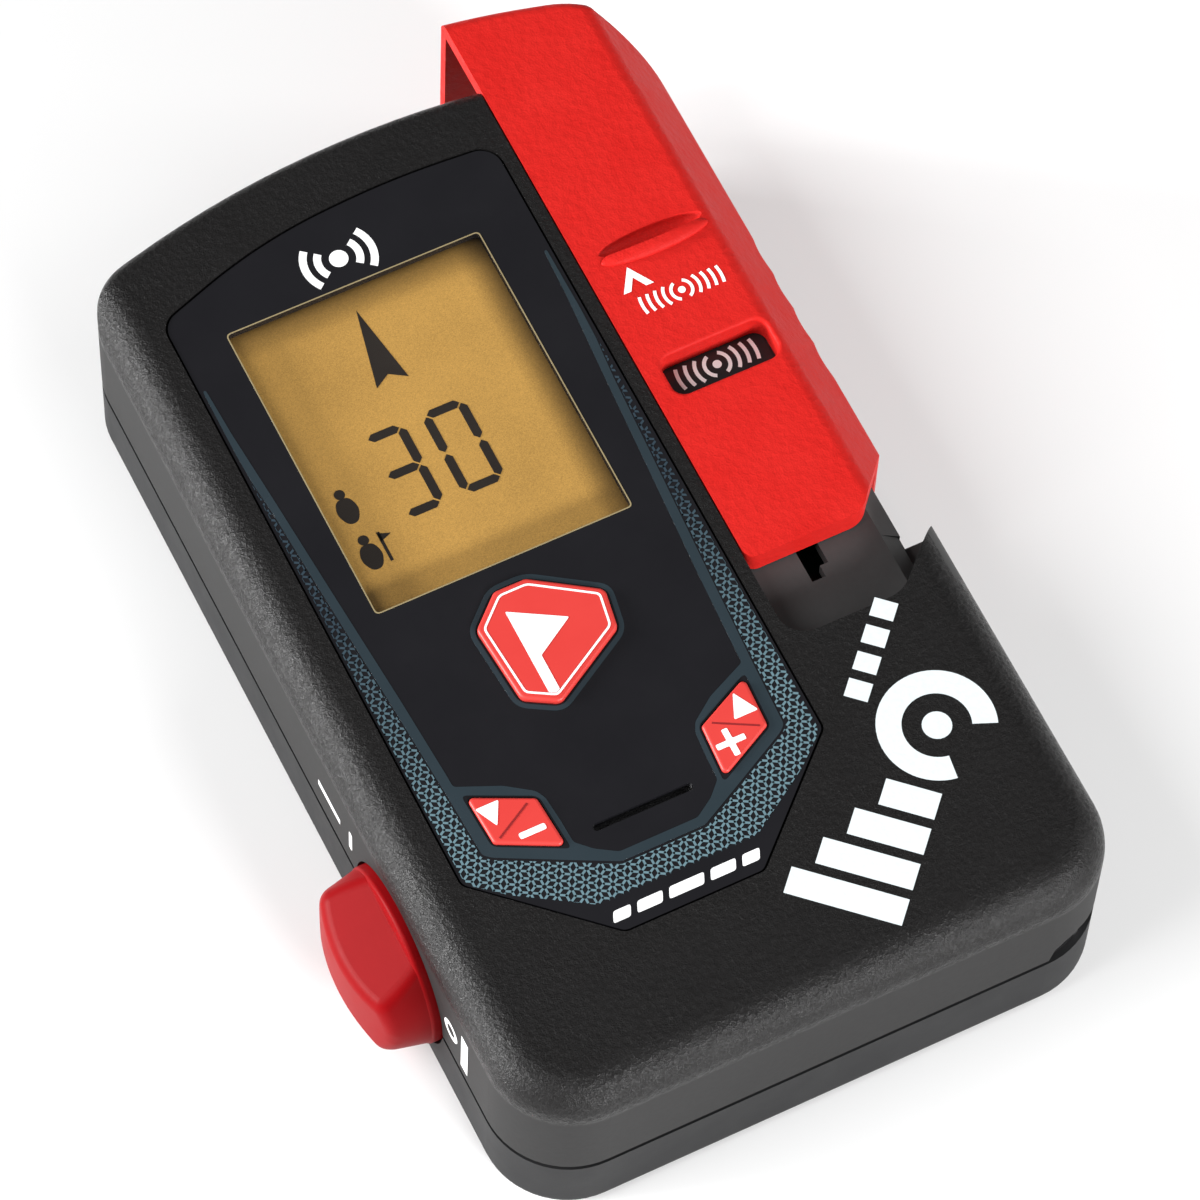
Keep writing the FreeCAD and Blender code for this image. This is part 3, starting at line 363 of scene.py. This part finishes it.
# ---- outlines: lists of (x, y) points ----
def circle(x, y, r, count=40, start=0.0, stop=360.0):
    """Points round a circle, or along an arc of it with both ends."""
    closed = abs(stop - start) >= 360.0
    steps = count if closed else count + 1
    angles = [math.radians(start + (stop - start) * i / count) for i in range(steps)]
    return [(x + r * math.cos(a), y + r * math.sin(a)) for a in angles]


def arc_band(x, y, r_in, r_out, start, stop, count=24):
    return circle(x, y, r_out, count, start, stop) + circle(x, y, r_in, count, start, stop)[::-1]


def box(x0, y0, x1, y1):
    return [(x0, y0), (x1, y0), (x1, y1), (x0, y1)]


def line(a, b, width):
    """Rectangle of a given width about the segment from a to b."""
    dx = b[0] - a[0]
    dy = b[1] - a[1]
    size = math.hypot(dx, dy)
    nx = -dy / size * width / 2
    ny = dx / size * width / 2
    return [(a[0] + nx, a[1] + ny), (a[0] - nx, a[1] - ny), (b[0] - nx, b[1] - ny), (b[0] + nx, b[1] + ny)]


def mirror(points):
    """The same outline on the other side of the fascia's middle line."""
    return [(2 * FASCIA_X - x, y) for x, y in points][::-1]


def soften(points, r, count=5):
    """Rounds each corner of a polygon with radius about r."""
    made = []
    total = len(points)
    for i, here in enumerate(points):
        before = Vector(points[i - 1])
        after = Vector(points[(i + 1) % total])
        corner = Vector(here)
        reach_in = min(r, (before - corner).length / 2)
        reach_out = min(r, (after - corner).length / 2)
        a = corner + (before - corner).normalized() * reach_in
        b = corner + (after - corner).normalized() * reach_out
        for k in range(count + 1):
            t = k / count
            p = a * (1 - t) ** 2 + corner * 2 * t * (1 - t) + b * t ** 2
            made.append((p.x, p.y))
    return made


def grown(points, by):
    """Moves a simple polygon's edges outwards."""
    total = len(points)
    area = sum(points[i - 1][0] * points[i][1] - points[i][0] * points[i - 1][1] for i in range(total))
    sign = 1 if area > 0 else -1
    made = []
    for i in range(total):
        p0 = Vector(points[i - 1])
        p1 = Vector(points[i])
        p2 = Vector(points[(i + 1) % total])
        d1 = (p1 - p0).normalized()
        d2 = (p2 - p1).normalized()
        n1 = Vector((d1.y, -d1.x)) * sign
        n2 = Vector((d2.y, -d2.x)) * sign
        middle = (n1 + n2).normalized()
        q = p1 + middle * by / max(middle.dot(n1), 0.3)
        made.append((q.x, q.y))
    return made


def clip(polygon, region):
    """Part of a polygon inside a convex region given anticlockwise."""
    for i, start in enumerate(region):
        stop = region[(i + 1) % len(region)]
        dx = stop[0] - start[0]
        dy = stop[1] - start[1]
        kept = []
        for j, here in enumerate(polygon):
            last = polygon[j - 1]
            now = dx * (here[1] - start[1]) - dy * (here[0] - start[0])
            before = dx * (last[1] - start[1]) - dy * (last[0] - start[0])
            if (now >= 0) != (before >= 0):
                t = before / (before - now)
                kept.append((last[0] + t * (here[0] - last[0]), last[1] + t * (here[1] - last[1])))
            if now >= 0:
                kept.append(here)
        polygon = kept
        if len(polygon) < 3:
            return []
    return polygon


# ---- thin printed pieces ----
def add_print(name, build, body, material):
    """Turns a bmesh into a piece that rides on a body."""
    mesh = bpy.data.meshes.new(name)
    bmesh.ops.recalc_face_normals(build, faces=build.faces)
    build.to_mesh(mesh)
    build.free()
    piece = bpy.data.objects.new(name, mesh)
    bpy.context.collection.objects.link(piece)
    mesh.materials.append(MAT[material])
    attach(piece, body)


def printed(name, shapes, z, body, material, to_space=place):
    """Thin printed layer. A shape is an outline, or a list of outlines whose later ones are holes."""
    build = bmesh.new()
    for shape in shapes:
        loops = shape if isinstance(shape[0][0], (tuple, list)) else [shape]
        curve = bpy.data.curves.new("outline", "CURVE")
        curve.dimensions = "2D"
        curve.fill_mode = "BOTH"
        curve.extrude = INK / 2
        for loop in loops:
            spline = curve.splines.new("POLY")
            spline.points.add(len(loop) - 1)
            for point, (u, v) in zip(spline.points, loop):
                point.co = (u, v, 0, 1)
            spline.use_cyclic_u = True
        holder = bpy.data.objects.new("outline", curve)
        filled = bpy.data.meshes.new_from_object(holder)
        build.from_mesh(filled)
        bpy.data.objects.remove(holder)
        bpy.data.curves.remove(curve)
        bpy.data.meshes.remove(filled)
    bmesh.ops.remove_doubles(build, verts=build.verts, dist=1e-4)
    for vert in build.verts:
        vert.co = to_space(vert.co.x, vert.co.y, z + INK / 2 + vert.co.z)
    add_print(name, build, body, material)


def printed_cells(name, polygons, z, body, material):
    """Many small separate polygons as one thin piece with sides."""
    build = bmesh.new()
    for polygon in polygons:
        tops = [build.verts.new(place(x, y, z + INK)) for x, y in polygon]
        lows = [build.verts.new(place(x, y, z)) for x, y in polygon]
        build.faces.new(tops)
        build.faces.new(lows[::-1])
        for i in range(len(polygon)):
            build.faces.new([tops[i - 1], lows[i - 1], lows[i], tops[i]])
    add_print(name, build, body, material)


# ---- fascia prints ----
SURFACE = FASCIA_TOP + LIFT
MARK = [(-11.3, 56.9), (-14.9, 53.6), (-14.2, 44.4), (-10.6, 42.3), (-1.4, 47.6), (-0.6, 52.2), (-7.6, 56.9)]
PLUS = [(7.9, 36.8), (1.3, 33.6), (0.9, 27.4), (7.6, 30.8)]
MINUS = mirror(PLUS)
HOLE_MARGIN = 0.3      # clear fascia round a button
MARK_LINE = 0.85       # outer reach of the slate line round the mark button

# left half of the slate line: its inner side, and its outer side round the two step buttons
PANEL = [(-28.2, 92.0), (-27.95, 86.0), (-27.3, 77.0), (-26.45, 64.0), (-25.5, 50.0), (-24.95, 40.0),
         (-24.9, 38.5), (-20.2, 36.4), (-17.4, 34.4), (-16.85, 33.3), (-16.6, 30.2), (-16.5, 27.5),
         (-14.9, 25.9), (-12.7, 24.5)]
RIM = [(-28.55, 92.0), (-28.6, 84.0), (-28.5, 80.0), (-28.05, 75.0), (-27.5, 65.0), (-26.6, 50.0),
       (-26.05, 40.0), (-25.9, 37.5), (-25.6, 30.2), (-24.8, 29.5), (-17.3, 25.6), (-13.0, 23.4)]

slate_line = RIM + mirror(RIM) + mirror(PANEL)[::-1] + PANEL[::-1]
step_holes = [soften(grown(hole, HOLE_MARGIN), 0.7) for hole in (MINUS, PLUS)]
printed("fascia_line", [[soften(slate_line, 0.35, 3)] + step_holes], SURFACE, "body", "ink_slate")
printed("mark_outline", [[soften(grown(MARK, MARK_LINE), 1.3), soften(grown(MARK, HOLE_MARGIN), 1.0)]],
        SURFACE, "body", "ink_slate")

# lattice of six-petalled stars outside the slate line
PITCH = 1.61
STAR = (1.93, 25.63)                # centre of one star
STAR_HOLE = 0.24                    # radius left open at each centre
STAR_REACH = 1.06 * PITCH / math.sqrt(3)
STAR_LINE = 0.25
ROWS = range(-5, 40)
COLUMNS = range(-24, 8)
BAND = [  # convex parts of the left half, anticlockwise
    [(-28.6, 80.0), (-28.6, 65.0), (-27.65, 65.0), (-28.2, 75.0)],
    [(-28.6, 65.0), (-28.7, 50.0), (-26.75, 50.0), (-27.65, 65.0)],
    [(-28.7, 50.0), (-28.7, 38.0), (-26.1, 38.0), (-26.2, 40.0), (-26.75, 50.0)],
    [(-28.7, 38.0), (-28.6, 28.5), (-25.8, 30.1), (-26.1, 38.0)],
    [(-28.6, 28.5), (-28.2, 27.6), (-25.0, 24.9), (-25.0, 29.3), (-25.8, 30.1)],
    [(-25.0, 24.9), (-17.6, 20.2), (-17.5, 25.4), (-25.0, 29.3)],
    [(-17.6, 20.2), (-16.8, 20.0), (-13.1, 20.0), (-13.1, 23.1), (-17.5, 25.4)],
    [(-13.1, 20.0), (FASCIA_X, 20.0), (FASCIA_X, 23.1), (-13.1, 23.1)],
]


def star_lattice(regions):
    """Lines from each point of a triangular lattice towards the six triangle centres round it."""
    made = []
    for row in ROWS:
        for column in COLUMNS:
            x = STAR[0] + (column + (row % 2) / 2) * PITCH
            y = STAR[1] + row * PITCH * math.sqrt(3) / 2
            for k in range(6):
                dx = math.cos(math.radians(30 + 60 * k))
                dy = math.sin(math.radians(30 + 60 * k))
                stroke = line((x + dx * STAR_HOLE, y + dy * STAR_HOLE),
                              (x + dx * STAR_REACH, y + dy * STAR_REACH), STAR_LINE)
                for region in regions:
                    part = clip(stroke, region)
                    if part:
                        made.append(part)
    return made


band_regions = []
for part in BAND:
    band_regions += [part, mirror(part)]
printed_cells("fascia_pattern", star_lattice(band_regions), SURFACE, "body", "ink_teal")

# thin frame round the window
WINDOW = box(-23.3, 60.1, 6.4, 97.1)
printed("window_border", [[soften(grown(WINDOW, 0.16), 0.6), soften(grown(WINDOW, 0.02), 0.5)]],
        SURFACE, "body", "ink_cream")

# transmitter icon at the head: a dot between two pairs of arcs
ICON_X = -8.5
ICON_Y = 100.6
ICON_DOT = 1.05
ICON_ARCS = ((1.9, 2.75), (3.45, 4.3))
ICON_HALF = 38
icon = [circle(ICON_X, ICON_Y, ICON_DOT)]
for r_in, r_out in ICON_ARCS:
    icon.append(arc_band(ICON_X, ICON_Y, r_in, r_out, -ICON_HALF, ICON_HALF))
    icon.append(arc_band(ICON_X, ICON_Y, r_in, r_out, 180 - ICON_HALF, 180 + ICON_HALF))
printed("transmitter_icon", icon, SURFACE, "body", "ink_pure")

# row of slanted dashes at the foot
DASHES = (2.0, 2.9, 4.0, 2.9, 2.0)
DASH_GAP = 0.75
DASH_SLANT = 0.55
DASH_FOOT = 17.45
DASH_HEAD = 18.7
dashes = []
x = FASCIA_X - (sum(DASHES) + DASH_GAP * (len(DASHES) - 1) + DASH_SLANT) / 2
for width in DASHES:
    dashes.append(soften([(x, DASH_FOOT), (x + width, DASH_FOOT), (x + width + DASH_SLANT, DASH_HEAD),
                          (x + DASH_SLANT, DASH_HEAD)], 0.3, 3))
    x += width + DASH_GAP
printed("foot_dashes", dashes, SURFACE, "body", "ink_pure")

# ---- button prints ----
mark_print = MARK_TOP + LIFT
FLAG = [(-11.3, 43.74), (-10.6, 43.42), (-10.1, 43.62), (-10.1, 48.0), (-5.5, 50.8), (-11.3, 54.2)]
printed("mark_flag", [soften(FLAG, 0.18, 3)], mark_print, "mark", "ink_pure")
printed("mark_inset", [[soften(grown(MARK, -0.62), 0.5), soften(grown(MARK, -0.86), 0.4)]],
        mark_print, "mark", "ink_pure")

step_print = STEP_TOP + LIFT
SIGN_LINE = 0.72
SLASH_LINE = 0.2
DOWN = [(-24.1, 35.05), (-21.4, 35.05), (-22.8, 32.4)]
UP = [(4.7, 32.75), (7.5, 32.75), (5.95, 35.6)]
printed("minus_sign", [soften(DOWN, 0.25, 3), soften(line((-21.3, 30.3), (-18.3, 30.3), SIGN_LINE), 0.25, 3)],
        step_print, "minus", "ink_pure")
printed("minus_slash", [line((-23.2, 31.0), (-18.9, 33.4), SLASH_LINE)],
        step_print, "minus", "ink_maroon")


def cross(x, y, reach, half):
    """Plus sign, anticlockwise from the inner corner at the top right."""
    made = []
    for c, s in ((1, 0), (0, 1), (-1, 0), (0, -1)):
        for u, v in ((half, half), (half, reach), (-half, reach)):
            made.append((x + c * u - s * v, y + s * u + c * v))
    return made


printed("plus_sign", [soften(UP, 0.25, 3), soften(cross(3.22, 30.6, 1.66, 0.34), 0.15, 2)],
        step_print, "plus", "ink_pure")
printed("plus_slash", [line((2.45, 33.4), (6.8, 31.0), SLASH_LINE)],
        step_print, "plus", "ink_maroon")

# ---- display ----
STROKE = 1.0
STROKE_GAP = 0.14      # clear space at each end of a segment
DIGIT_Y0 = 70.0
DIGIT_Y1 = 79.9


def seven(x0, x1, y0, y1, lit):
    """Seven-segment figure; lit names segments a to g."""
    half = STROKE / 2
    mid = (y0 + y1) / 2
    ends = {
        "a": ((x0, y1), (x1, y1)), "d": ((x0, y0), (x1, y0)), "g": ((x0, mid), (x1, mid)),
        "f": ((x0, mid), (x0, y1)), "b": ((x1, mid), (x1, y1)),
        "e": ((x0, y0), (x0, mid)), "c": ((x1, y0), (x1, mid)),
    }
    made = []
    for key in lit:
        (ax, ay), (bx, by) = ends[key]
        if ay == by:
            ax += STROKE_GAP
            bx -= STROKE_GAP
            made.append([(ax, ay), (ax + half, ay - half), (bx - half, by - half), (bx, by),
                         (bx - half, by + half), (ax + half, ay + half)])
        else:
            ay += STROKE_GAP
            by -= STROKE_GAP
            made.append([(ax, ay), (ax + half, ay + half), (bx + half, by - half), (bx, by),
                         (bx - half, by - half), (ax - half, ay + half)])
    return made


def person(x, y):
    """Plain figure: a round head over a rounded body."""
    return [circle(x, y + 1.75, 0.6, 24),
            soften([(x - 0.6, y - 2.0), (x + 0.6, y - 2.0), (x + 1.3, y - 0.4), (x + 0.75, y + 1.2),
                    (x - 0.75, y + 1.2), (x - 1.3, y - 0.4)], 0.7)]


pointer = [(-9.2, 94.8), (-11.3, 85.2), (-9.5, 86.3), (-7.6, 85.1)]
small_flag = [line((-18.75, 65.8), (-18.75, 69.5), 0.35), [(-18.9, 69.4), (-18.9, 68.3), (-17.5, 68.85)]]
figures = [pointer]
figures += seven(-15.0, -11.1, DIGIT_Y0, DIGIT_Y1, "abgcd")
figures += seven(-8.1, -4.0, DIGIT_Y0, DIGIT_Y1, "abcdef")
figures += person(-20.45, 73.5) + person(-20.5, 67.5) + small_flag
printed("display_figures", figures, GLASS_TOP + LIFT, "body", "ink_dark")


# ---- slider and label prints ----
def waves(x, y, scale, count):
    """Dot with pairs of short arcs of growing radius to its left and right."""
    made = [circle(x, y, 0.42 * scale, 20)]
    for k in range(count):
        r = (1.0 + 0.88 * k) * scale
        half = math.degrees(math.asin(min(0.9, 1.05 * scale / r)))
        made.append(arc_band(x, y, r, r + 0.36 * scale, -half, half, 12))
        made.append(arc_band(x, y, r, r + 0.36 * scale, 180 - half, 180 + half, 12))
    return made


chevron = [(18.9, 86.2), (17.1, 83.3), (18.0, 83.3), (18.9, 84.8), (19.8, 83.3), (20.7, 83.3)]
printed("slider_print", [chevron] + waves(23.0, 81.2, 1.0, 5), SLIDER_TOP + LIFT,
        "slider", "ink_pure")
printed("label_print", waves(23.2, 72.9, 1.2, 4), LABEL_TOP + LIFT, "body", "ink_pure")

# ---- large graphic on the lower right of the face: bars, an open ring with a dot, and small squares ----
# u runs along the row of bars from its lower left corner, v across it
GRAPHIC_X = 7.2
GRAPHIC_Y = 6.6
GRAPHIC_TURN = math.radians(47)
BAR_HEIGHTS = (12.6, 10.4, 8.2, 6.0)
BAR_PITCH = 4.2
BAR_WIDTH = 3.1
BAR_FOOT = -3.2
RING_U = 23.2
RING_V = -0.6
RING_IN = 3.7
RING_OUT = 6.4
RING_OPEN_FROM = 215
RING_OPEN_TO = -70
RING_DOT = 1.6
SQUARES = 4
SQUARE_U = 23.6
SQUARE_V0 = 7.0
SQUARE_V1 = 9.6
SQUARE_PITCH = 3.3
SQUARE_WIDTH = 2.2


def turned(points):
    c = math.cos(GRAPHIC_TURN)
    s = math.sin(GRAPHIC_TURN)
    return [(GRAPHIC_X + c * u - s * v, GRAPHIC_Y + s * u + c * v) for u, v in points]


graphic = []
for k, height in enumerate(BAR_HEIGHTS):
    graphic.append(box(k * BAR_PITCH, BAR_FOOT, k * BAR_PITCH + BAR_WIDTH, BAR_FOOT + height))
graphic.append(arc_band(RING_U, RING_V, RING_IN, RING_OUT, RING_OPEN_TO, RING_OPEN_FROM, 48))
graphic.append(circle(RING_U, RING_V, RING_DOT, 24))
for k in range(SQUARES):
    u = SQUARE_U + k * SQUARE_PITCH
    graphic.append(box(u, SQUARE_V0, u + SQUARE_WIDTH, SQUARE_V1))
printed("face_graphic", [turned(outline) for outline in graphic], FACE_TOP + LIFT,
        "body", "ink_white")


# ---- marks on the left wall: off by the foot, on further up ----
def on_wall(u, v, w):
    """u runs along the body, v is the height, w stands out of the left wall."""
    return place(WALL_X - w, u, v)


wall_marks = [
    box(14.0, 12.0, 15.5, 19.2),
    [circle(17.9, 15.6, 1.5, 28), circle(17.9, 15.6, 0.85, 28)],
    soften(box(41.6, 13.6, 42.3, 17.2), 0.2, 2),
    box(44.5, 14.6, 49.8, 15.6),
]
printed("wall_marks", wall_marks, LIFT, "body", "ink_pure", to_space=on_wall)

# ---- floor and lights, in metres ----
FLOOR_REACH = 6.0
FLOOR_Z = -0.0002
floor_mesh = bpy.data.meshes.new("floor")
floor_build = bmesh.new()
for x, y in box(-FLOOR_REACH, -FLOOR_REACH, FLOOR_REACH, FLOOR_REACH):
    floor_build.verts.new((x, y, FLOOR_Z))
floor_build.faces.new(floor_build.verts)
floor_build.to_mesh(floor_mesh)
floor_build.free()
floor = bpy.data.objects.new("floor", floor_mesh)
bpy.context.collection.objects.link(floor)
floor_look = Shader("floor_paper")
floor_look.set(Roughness=0.9)
floor_look.colour(floor_look.noise(400.0, 2.0), (0.86, 0.86, 0.86), (0.88, 0.88, 0.88))
floor_mesh.materials.append(floor_look.material)


def softbox(name, direction, distance, size, power):
    """Rectangular lamp that shines at the object from a direction."""
    data = bpy.data.lights.new(name, "AREA")
    data.shape = "RECTANGLE"
    data.size = size[0]
    data.size_y = size[1]
    data.energy = power
    lamp = bpy.data.objects.new(name, data)
    bpy.context.collection.objects.link(lamp)
    towards = Vector(direction).normalized()
    lamp.location = towards * distance
    lamp.rotation_euler = towards.to_track_quat("Z", "Y").to_euler()


softbox("light_top", (-0.75, 0.05, 0.75), 1.3, (0.7, 0.7), 10.0)
softbox("light_left", (-0.886, 0.403, 0.228), 0.8, (0.40, 0.14), 12.5)
softbox("light_front", (0.228, -0.886, 0.403), 0.9, (0.5, 0.13), 11)
softbox("light_right", (0.9, -0.25, 0.6), 1.4, (0.6, 0.6), 5)
world = bpy.data.worlds.new("studio")
bpy.context.scene.world = world
world.use_nodes = True
background = world.node_tree.nodes["Background"]
background.inputs["Color"].default_value = (1.0, 1.0, 1.0, 1.0)
background.inputs["Strength"].default_value = 0.12
